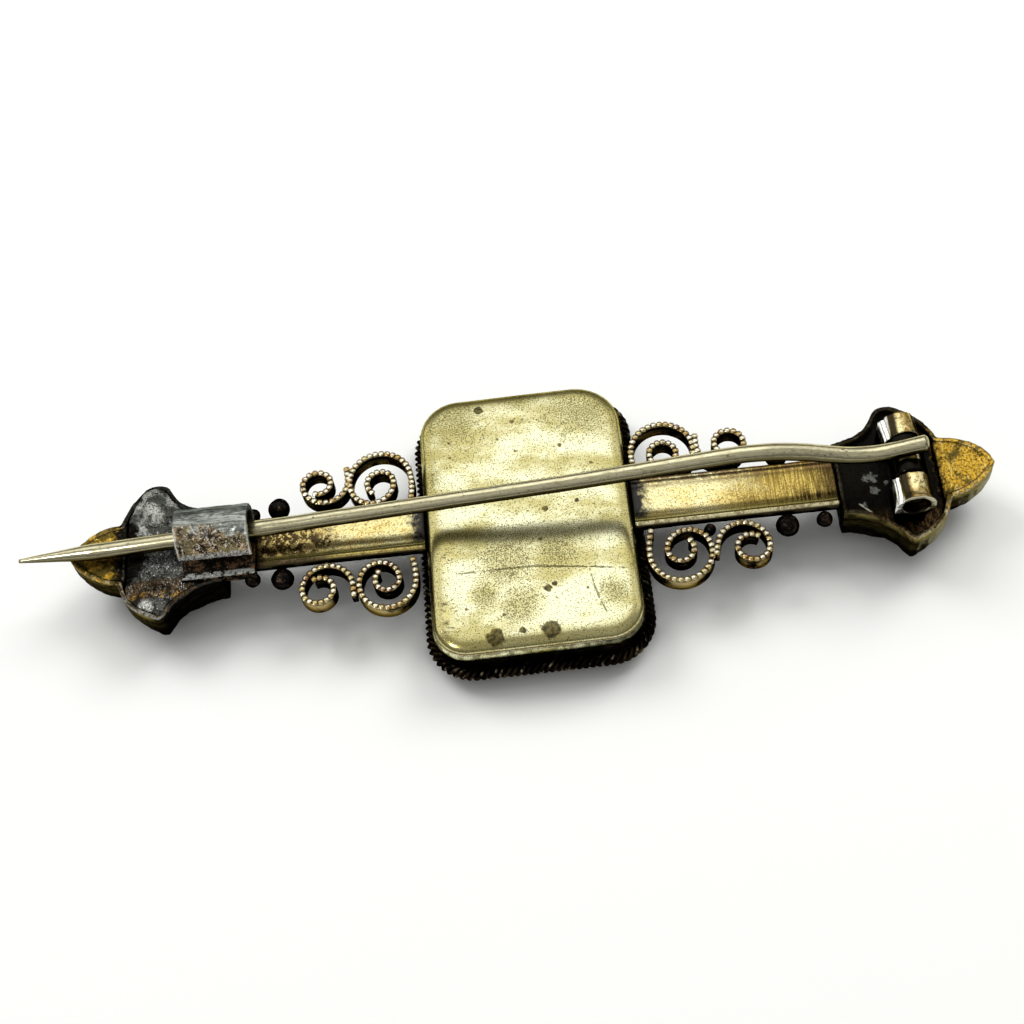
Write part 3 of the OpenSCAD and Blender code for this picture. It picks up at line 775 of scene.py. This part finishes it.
def make_rope():
    width, length = PAN_W + 2 * ROPE_OUT, PAN_L + 2 * ROPE_OUT
    outline = rounded_ring(width, length, [ROPE_CORNER] * 4, 0, ROPE_STEPS, ROPE_ARC_STEPS)
    count = len(outline)
    lengths = [(outline[(k + 1) % count] - outline[k]).length for k in range(count)]
    total = sum(lengths)
    # A strand that makes a whole number of turns meets itself
    turns = round(total / PITCH)
    strands = [[] for _ in range(STRANDS)]
    run = 0.0
    for k, point in enumerate(outline):
        way = (outline[(k + 1) % count] - outline[k - 1]).normalized()
        out = Vector((way.y, -way.x, 0))
        for s, rings in enumerate(strands):
            angle = TAU * (turns * run / total + s / STRANDS)
            middle = Vector((point.x, point.y, ROPE_Z))
            middle += TWIST_R * (math.cos(angle) * out + math.sin(angle) * UP)
            ring = ring_round(middle, out, UP, STRAND_R, STRAND_SIDES)
            rings.append([turned(p, PLAQUE_TURN) for p in ring])
        run += lengths[k]
    rope = shape("rope", [skin(rings, loop=True) for rings in strands])
    settle(rope, "rope_wire", "plaque_rope")


# Bars

# Half outline of a bar's flat back, from its middle to its rounded edge: y, depth under the top
BAR_BACK = [(0.0, 0.0), (0.4, 0.0), (0.75, 0.01), (1.0, 0.045), (1.18, 0.09), (1.3, 0.07), (1.38, 0.01)]
# Radius of that edge, thickness and lower bevel of the flat back, and width of the round body under it
BAR_EDGE, BAR_PLATE, BAR_BEVEL, BAR_ROUND_W = 0.33, 0.5, 0.04, 2.9
BAR_START, BAR_END, BAR_STEPS = 6.34, 18.58, 70


def quarter(steps):
    """Angles from 0 to a right angle."""
    return [math.pi / 2 * k / steps for k in range(steps + 1)]


def bar_profile():
    """Half outline of a bar's section from the middle of the back, as y and z."""
    half = [(y, BAR_TOP - depth) for y, depth in BAR_BACK]
    half += [(BAR_W / 2 - BAR_EDGE * (1 - math.sin(a)), BAR_TOP - BAR_EDGE * (1 - math.cos(a)))
             for a in quarter(5)]
    low = BAR_TOP - BAR_PLATE
    half += [(BAR_W / 2, low + BAR_BEVEL), (BAR_W / 2 - BAR_BEVEL, low)]
    half += [(BAR_ROUND_W / 2 * math.cos(a), low - BAR_ROUND_W / 2 * math.sin(a)) for a in quarter(10)]
    return half


def make_bar(side, name):
    half = bar_profile()
    outline = half + [(-y, z) for y, z in reversed(half[1:-1])]
    rings = []
    for k in range(BAR_STEPS + 1):
        x = BAR_START + (BAR_END - BAR_START) * k / BAR_STEPS
        rings.append([(side * x, y, z) for y, z in outline])
    bar = shape("back_" + name, [skin(rings)])
    uneven(bar, [(3.0, 0.03, 2.0 + side), (0.9, 0.012, 7.0)])
    settle(bar, "bar_gilt", name)


# Scroll wires

# Strip of wire on edge: top and bottom, thickness, bevel of its edges, distance between two sections
RIBBON_TOP, RIBBON_LOW = 3.43, 2.43
RIBBON_T, RIBBON_BEVEL, RIBBON_STEP = 0.34, 0.07, 0.12
# Beads on it: height of their middles, distance between two, then half their length, width and height
BEAD_Z, BEAD_STEP = 3.48, 0.37
BEAD_L, BEAD_W, BEAD_H = 0.16, 0.2, 0.09
BEAD_RINGS, BEAD_SIDES = 6, 8
# Runs of arcs: radius, degrees turned
BIG_ARCS = [(5.5, 17), (1.85, 200), (1.3, 155), (0.8, 225)]
SMALL_ARCS = [(14, 3), (1.5, 170), (0.95, 145), (0.8, 155)]
# Name, side in x, side in y, then each scroll's start from the corner of pan and bar, heading and scale
SCROLLS = [
    ("upper_left", -1, 1, (0.74, 0.42, 99, 1.03), (4.67, 2.85, -97, 0.95)),
    ("upper_right", 1, 1, (0.45, 0.2, 104, 1.03), (4.3, 2.54, -92, 0.97)),
    ("lower_left", -1, -1, (0.82, 0.5, 103, 0.92), (4.43, 2.45, -87, 1.02)),
    ("lower_right", 1, -1, (0.88, 0.35, 107, 1), (4.57, 2.25, -78, 1.02)),
]


def trace(start, heading, arcs, side, size, step):
    """Points along a run of arcs about one step apart, each as x, y and heading."""
    line, place, heading = [], Vector(start), math.radians(heading)
    for radius, sweep in arcs:
        radius, sweep = radius * size, math.radians(sweep)
        centre = place + side * radius * Vector((-math.sin(heading), math.cos(heading)))
        steps = max(2, round(radius * sweep / step))
        for k in range(steps):
            h = heading + side * sweep * k / steps
            spot = centre + side * radius * Vector((math.sin(h), -math.cos(h)))
            line.append((spot.x, spot.y, h))
        heading += side * sweep
        place = centre + side * radius * Vector((math.sin(heading), -math.cos(heading)))
    return line + [(place.x, place.y, heading)]


def ribbon(line, side_x, side_y):
    """Strip of wire on edge, with bevelled top and bottom edges."""
    wide, high, low = RIBBON_T / 2, RIBBON_TOP - RIBBON_BEVEL, RIBBON_LOW + RIBBON_BEVEL
    slim = wide - RIBBON_BEVEL
    section = [(-slim, RIBBON_LOW), (slim, RIBBON_LOW), (wide, low), (wide, high),
               (slim, RIBBON_TOP), (-slim, RIBBON_TOP), (-wide, high), (-wide, low)]
    rings = []
    for x, y, h in line:
        rings.append([(side_x * (x - across * math.sin(h)), side_y * (y + across * math.cos(h)), z)
                      for across, z in section])
    return skin(rings)


def squarish(value):
    """Pushes a sine or cosine outwards, so that a round shape turns into a rounded box."""
    return math.copysign(abs(value) ** 0.6, value)


def bead(place, heading):
    """Small rounded block that lies along the wire."""
    along = Vector((math.cos(heading), math.sin(heading), 0))
    across = Vector((-math.sin(heading), math.cos(heading), 0))
    rings = []
    for j in range(1, BEAD_RINGS):
        tilt = math.pi * j / BEAD_RINGS
        thick = squarish(math.sin(tilt))
        middle = place - BEAD_L * squarish(math.cos(tilt)) * along
        rings.append([middle + BEAD_W * thick * squarish(math.cos(a)) * across
                      + BEAD_H * thick * math.sin(a) * UP for a in circle(BEAD_SIDES)])
    return skin(rings)


def make_scrolls(name, side_x, side_y, big, small):
    parts = []
    for (from_pan, from_bar, heading, size), arcs, side in ((big, BIG_ARCS, -1), (small, SMALL_ARCS, 1)):
        start = (PAN_W / 2 + from_pan, BAR_W / 2 + from_bar)
        parts.append(ribbon(trace(start, heading, arcs, side, size, RIBBON_STEP), side_x, side_y))
        for x, y, h in trace(start, heading, arcs, side, size, BEAD_STEP):
            place = Vector((side_x * x, side_y * y, BEAD_Z))
            parts.append(bead(place, math.atan2(side_y * math.sin(h), side_x * math.cos(h))))
    scroll = shape("scroll_wires_" + name, parts)
    settle(scroll, "beaded_wire", "scrolls_" + name)


# Balls

# Columns: name, side in x, side in y, how far in from the tip the large and the small ball lie
BALLS = [
    ("upper_left", -1, 1, 12.72, 11.1), ("upper_right", 1, 1, 12.72, 10.47),
    ("lower_left", -1, -1, 12.93, 11.1), ("lower_right", 1, -1, 12.72, 10.47),
]
BALL_D, SMALL_BALL_D, SCROLL_BALL_D = 1.36, 0.94, 0.74
# Gap between bar and ball, and depths of the balls' middles under the bar's top
BALL_GAP, BALL_SUNK, SMALL_BALL_SUNK = 0.02, 0.5, 0.6
# Distance of the ball between the scrolls from the pan
SCROLL_BALL_OUT = 4.42


def make_ball(name, node, diameter, x, side_y, sunk, shift):
    mesh = bpy.data.meshes.new(name)
    work = bmesh.new()
    bmesh.ops.create_icosphere(work, subdivisions=4, radius=diameter / 2)
    work.to_mesh(mesh)
    work.free()
    y = side_y * (BAR_W / 2 + BALL_GAP + diameter / 2)
    mesh.transform(Matrix.Translation((x, y, BAR_TOP - sunk)))
    mesh.shade_smooth()
    ball = add_object(name, mesh)
    uneven(ball, [(0.9, 0.05, shift), (0.3, 0.02, shift + 3.0)])
    settle(ball, "dark_ball", node)


def make_balls():
    for k, (name, side_x, side_y, large_in, small_in) in enumerate(BALLS):
        x = side_x * (HALF_LEN - large_in)
        make_ball("large_ball_" + name, "ball_" + name, BALL_D, x, side_y, BALL_SUNK, 1.0 + k)
        x = side_x * (HALF_LEN - small_in)
        node = "small_ball_" + name
        make_ball("little_ball_" + name, node, SMALL_BALL_D, x, side_y, SMALL_BALL_SUNK, 5.0 + k)
    x = PAN_W / 2 + SCROLL_BALL_OUT
    make_ball("scroll_ball", "ball_between_scrolls", SCROLL_BALL_D, x, -1, SMALL_BALL_SUNK, 9.0)


# Ends, catch and hinge

# Grey patches in the right hollow: middle, radius
HOLLOW_PATCHES = [
    ((20.6, 0.1, 3.1), 0.4), ((20.8, -0.75, 3.1), 0.28), ((20.0, -1.7, 3.1), 0.2),
    ((21.5, -0.3, 3.1), 0.18),
]
# Scratches in the right hollow: start, end
HOLLOW_SCRATCHES = [((19.7, -1.6, 3.2), (20.3, -2.25, 3.2)), ((19.5, -2.1, 3.2), (20.0, -2.5, 3.2))]
# Petals: length, how far they blend into the casting, height their dishes lie above, and share of the
# solids' depth that the dishes have
PETAL_L, PETAL_BLEND, PETAL_FROM_Z, PETAL_SHARE = 3.4, 0.8, 3.4, 0.35
# The solder reaches further out towards the tip, and down where it lies above a height
SOLDER_OUT, SOLDER_DOWN, SOLDER_FADE, SOLDER_FROM_Z = 0.17, 0.12, 1.1, 3.5
# Silvery lump in the left end's lower wing
SOLDER_BLOB = (-23.1, -3.75, 3.5)
# Middle of the catch along the bar, and start and end of the white streak on it
CATCH_MIDDLE = -18.7
CATCH_STREAK = ((-18.95, -0.75, 6.62), (-18.8, -1.25, 6.14))
# Its lip and foot stand further out beyond a y, and the lip, which is above a height, hangs lower
LIP_FROM_Y, LIP_OUT, LIP_FROM_Z, LIP_DOWN = -0.6, 0.25, 4.6, 0.25
# Bright ledge along the tubes' left side, where the rolled sheet ends
LEDGE_IN, LEDGE_UP = 0.74, 0.46
# The upper tube sits askew about its inner end, and the lower one flares out above its foot
UPPER_TUBE_Y, UPPER_TUBE_TURN = 1.35, math.radians(6)
FLARE_Y, FLARE_FROM_Z, FLARE_L, FLARE = -2.3, HINGE_Z - 1, 0.9, 0.14
TUBE_SIDES = 48
# Half section of the rivet and section of the stem's own tube: y, radius
RIVET = [(-2.65, 0.45), (-2.6, 0.58), (-2.45, 0.65), (2.45, 0.65), (2.6, 0.58), (2.65, 0.45)]
STEM_TUBE = [
    (-1.3, 0.98), (-1.25, 1.04), (-1.15, 1.05), (1.15, 1.05), (1.25, 1.04), (1.3, 0.98), (1.28, 0.7),
    (-1.28, 0.7),
]


def make_ends():
    for side, name in ((-1, "left"), (1, "right")):
        end = recast("end_ornament_" + name, "terminal_" + name, voxel=0.09, smooth_turns=3)
        for v in end.data.vertices:
            if v.co.z > PETAL_FROM_Z:
                on_petal = clamped((abs(v.co.x) - HALF_LEN + PETAL_L + PETAL_BLEND / 2) / PETAL_BLEND)
                v.co.z += (1 - PETAL_SHARE) * (BACK_Z - v.co.z) * on_petal
        uneven(end, [(2.0, 0.05, 3.0 + side), (0.5, 0.035, 6.0), (0.2, 0.015, 8.0)])
        settle(end, "end_casting", "terminal_" + name)
    repair = recast("repair_solder", "solder_left", voxel=0.07, smooth_turns=3)
    for v in repair.data.vertices:
        share = max(0.0, 1 - (v.co.x + HALF_LEN - PETAL_L) / SOLDER_FADE)
        v.co.x -= SOLDER_OUT * share
        v.co.z -= SOLDER_DOWN * share if v.co.z > SOLDER_FROM_Z else 0.0
    uneven(repair, [(0.9, 0.12, 2.0), (0.35, 0.06, 4.0), (0.16, 0.03, 9.0)])
    settle(repair, "solder", "solder_left")


def make_catch():
    hook = recast("hook_catch", "catch", voxel=0.055, smooth_turns=3)
    for v in hook.data.vertices:
        share = clamped(LIP_FROM_Y - v.co.y)
        v.co.y -= LIP_OUT * share
        v.co.z -= LIP_DOWN * share if v.co.z > LIP_FROM_Z else 0.0
    uneven(hook, [(1.2, 0.04, 2.0), (0.3, 0.03, 4.0), (0.12, 0.015, 9.0)])
    settle(hook, "catch_sheet", "catch")


def flare(tube):
    """Opens the tube a little towards its free end."""
    for v in tube.data.vertices:
        reach = max(0.0, (FLARE_Y - v.co.y) / FLARE_L)
        if v.co.z > FLARE_FROM_Z:
            v.co.x += FLARE * reach ** 2 * (v.co.x - HINGE_X)
            v.co.z += FLARE * reach ** 2 * (v.co.z - HINGE_Z)


def tube_ring(y, radius):
    """Ring of points round the hinge's axis."""
    return [(HINGE_X + radius * math.cos(a), y, HINGE_Z + radius * math.sin(a)) for a in circle(TUBE_SIDES)]


def make_hinge():
    for name in ("upper", "lower"):
        tube = recast("tube_" + name, "knuckle_" + name, voxel=0.05, smooth_turns=2)
        for v in tube.data.vertices:
            if v.co.x < HINGE_X - LEDGE_IN:
                v.co.z = min(v.co.z, HINGE_Z + LEDGE_UP)
        if name == "lower":
            flare(tube)
        else:
            corner = Matrix.Translation((HINGE_X, UPPER_TUBE_Y, 0))
            tube.data.transform(corner @ Matrix.Rotation(UPPER_TUBE_TURN, 4, "Z") @ corner.inverted())
        uneven(tube, [(0.8, 0.02, 3.0), (0.25, 0.01, 7.0)])
        settle(tube, "hinge_tube", "knuckle_" + name)
    wire = shape("hinge_wire", [skin([tube_ring(y, radius) for y, radius in RIVET])])
    settle(wire, "rivet_wire", "rivet")


# Pin stem

# Columns: x from the hinge, height, bend radius
STEM = [
    (-48.95, 4.465, 0), (-48.2, 4.49, 12), (-38.2, 5.128, 12), (-19.5, 6.56, 90), (-8.2, 7.78, 12),
    (-2.5, 5.82, 6), (1.15, 6.68, 0),
]
# Length of the point, radius of its tip and of the tip's blunt end
STEM_TAPER, TIP_R, TIP_END_R = 4.6, 0.12, 0.048
# Distance between two sections, and points round each
STEM_STEP, STEM_SIDES = 0.15, 28
# Columns: x from the hinge, radius of the wire
STEM_RADII = [(-54, 0.52), (-39, 0.525), (-37, 0.495), (-21, 0.485), (-14, 0.505), (-8, 0.525), (2, 0.51)]
# Rounded end of the wire. Columns: distance from its end, share of the radius
STEM_ROUND = [(0.17, 0.96), (0.09, 0.85), (0.03, 0.65), (0.0, 0.35)]


def stem_line(step):
    """Points along the middle of the wire from the tip to its end, as x from the hinge and height."""
    first = Vector(STEM[0][:2])
    way = (Vector(STEM[1][:2]) - first).normalized()
    line = [first - way * STEM_TAPER, first - way * STEM_TAPER * 0.5, first]
    for k in range(1, len(STEM) - 1):
        before, here, after = (Vector(STEM[j][:2]) for j in (k - 1, k, k + 1))
        radius = STEM[k][2]
        a, b = (here - before).normalized(), (after - here).normalized()
        angle = a.angle(b)
        tangent = radius * math.tan(angle / 2)
        side = 1 if a.x * b.y - a.y * b.x > 0 else -1
        start = here - a * tangent
        centre = start + side * radius * Vector((-a.y, a.x))
        steps = max(3, math.ceil(angle * radius / step))
        for j in range(steps + 1):
            turn = side * angle * j / steps
            arm = start - centre
            line.append(centre + Vector((arm.x * math.cos(turn) - arm.y * math.sin(turn),
                                         arm.x * math.sin(turn) + arm.y * math.cos(turn))))
    line.append(Vector(STEM[-1][:2]))
    dense = []
    for a, b in zip(line, line[1:]):
        steps = max(1, math.ceil((b - a).length / step))
        dense += [a.lerp(b, j / steps) for j in range(steps)]
    return dense + [line[-1]]


def between(rows, x):
    """Value at x from a table of x and value."""
    for (x0, v0), (x1, v1) in zip(rows, rows[1:]):
        if x <= x1:
            return v0 + (v1 - v0) * max(0.0, (x - x0) / (x1 - x0))
    return rows[-1][1]


def wire_ring(place, way, radius):
    """Ring of points round the wire. place is x from the hinge and height."""
    across, up = Vector((0, 1, 0)), Vector((-way.y, 0, way.x))
    middle = Vector((HINGE_X + place.x, 0, place.y))
    return ring_round(middle, across, up, radius, STEM_SIDES)


def make_stem():
    line = stem_line(STEM_STEP)
    rings = []
    for k, place in enumerate(line[:-1]):
        way = (line[k + 1] - line[max(k - 1, 0)]).normalized()
        radius = between(STEM_RADII, place.x)
        in_taper = max(0.0, (STEM[0][0] - place.x) / STEM_TAPER)
        rings.append(wire_ring(place, way, radius + (TIP_R - radius) * in_taper))
    rings.insert(0, wire_ring(line[0], (line[1] - line[0]).normalized(), TIP_END_R))
    way = (line[-1] - line[-2]).normalized()
    end_r = STEM_RADII[-1][1]
    rings += [wire_ring(line[-1] - back * way, way, end_r * share) for back, share in STEM_ROUND]
    tube = [tube_ring(y, radius) for y, radius in STEM_TUBE]
    stem = shape("pin_wire", [skin(rings), skin(tube, loop=True)])
    uneven(stem, [(2.0, 0.012, 3.0), (0.6, 0.006, 6.0)])
    settle(stem, "stem_wire", "pin_stem", body="pin")


# Scene round the brooch

# Half width of the floor in metres, its colour and its roughness
FLOOR_HALF, FLOOR_TONE, FLOOR_ROUGH = 3.0, (0.93, 0.935, 0.91), 0.6
# Round lamps: name, place and diameter in metres, power, whether it lights the floor or glints in metal
LAMPS = [
    ("key_left", (-0.2, 0.19, 0.27), 0.2, 0.56, True), ("key_right", (0.2, 0.19, 0.27), 0.2, 0.56, True),
    ("spark", (-0.16, -0.1, 0.24), 0.02, 0.2, False),
]
# Light of the studio: direction, cosines of the angle from it where it starts and is full, brightness
STUDIO = [
    ((0.0, 0.0, 1.0), 0.0, 0.9, 0.33), ((0.0, 0.5, 0.866), 0.86, 0.995, 1.25),
    ((-0.68, 0.5, 0.54), 0.9, 0.985, 0.9), ((0.68, 0.5, 0.54), 0.9, 0.985, 0.7),
]
STUDIO_DARK, BACKDROP, STUDIO_TONE = 0.12, 0.93, (1.0, 1.0, 0.99)
# Camera: place in metres, turns in degrees, lens and sensor width in millimetres, nearest metres seen
CAMERA_PLACE, CAMERA_TURN = (0.0029, -0.05319, 0.09177), (30.894, 4.995, -4.144)
CAMERA_LENS, CAMERA_SENSOR, CAMERA_NEAR = 60.11, 36.0, 0.005


def make_floor():
    mesh = bpy.data.meshes.new("floor")
    corners = [(FLOOR_HALF * x, FLOOR_HALF * y, 0) for x, y in ((-1, -1), (1, -1), (1, 1), (-1, 1))]
    mesh.from_pydata(corners, [], [(0, 1, 2, 3)])
    look = Look("floor", metallic=0.0)
    look.colour = FLOOR_TONE
    mesh.materials.append(look.finish(FLOOR_ROUGH))
    floor = add_object("floor", mesh)


def make_lamp(name, place, size, power, on_floor):
    data = bpy.data.lights.new(name, "AREA")
    data.shape = "DISK"
    data.size = size
    data.energy = power
    lamp = add_object(name, data)
    lamp.visible_diffuse = on_floor
    lamp.visible_glossy = not on_floor
    lamp.location = place
    lamp.rotation_euler = (-Vector(place)).to_track_quat("-Z", "Y").to_euler()


def make_world():
    """Dim surroundings with bright soft windows, in front of a pale backdrop that gives no light itself."""
    world = bpy.data.worlds.new("studio")
    bpy.context.scene.world = world
    world.use_nodes = True
    tree = world.node_tree
    where = add_node("TexCoord", {}, "Generated", tree)
    total = STUDIO_DARK
    for way, start, full, brightness in STUDIO:
        along = vector_maths("DOT_PRODUCT", where, way)
        inputs = {"Value": along, "From Min": start, "From Max": full, "To Max": brightness}
        total = plus(add_node("MapRange", inputs, "Result", interpolation_type="SMOOTHSTEP"), total)
    seen = add_node("LightPath", {}, "Is Camera Ray", tree)
    light = add_node("Mix", {"Factor": seen, "A": total, "B": BACKDROP}, "Result")
    connect(tree.nodes["Background"], {"Strength": light, "Color": rgba(STUDIO_TONE)})


def make_camera():
    data = bpy.data.cameras.new("camera")
    data.sensor_width = CAMERA_SENSOR
    data.lens = CAMERA_LENS
    data.clip_start = CAMERA_NEAR
    camera = add_object("camera", data)
    camera.location = CAMERA_PLACE
    camera.rotation_euler = [math.radians(turn) for turn in CAMERA_TURN]
    bpy.context.scene.camera = camera


# Looks by material slot
looks = {
    "plaque_gilt": pan_look(),
    "front_metal": dark_look("front_metal", (0.06, 0.045, 0.025)),
    "rope_wire": rope_look(),
    "bar_gilt": bar_look(),
    "end_casting": casting_look(),
    "solder": solder_look(),
    "beaded_wire": beaded_look(),
    "dark_ball": ball_look(),
    "catch_sheet": catch_look(),
    "hinge_tube": tube_look(),
    "rivet_wire": dark_look("rivet_wire", (0.2, 0.16, 0.1)),
    "stem_wire": stem_look(),
}

make_pan()
make_rope()
make_bar(-1, "bar_left")
make_bar(1, "bar_right")
for scroll_row in SCROLLS:
    make_scrolls(*scroll_row)
make_balls()
make_ends()
make_catch()
make_hinge()
make_stem()
wear(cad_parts["plaque_front"].data, "front_metal")

make_floor()
make_world()
for lamp_row in LAMPS:
    make_lamp(*lamp_row)
make_camera()
bpy.context.scene.view_settings.view_transform = "Standard"
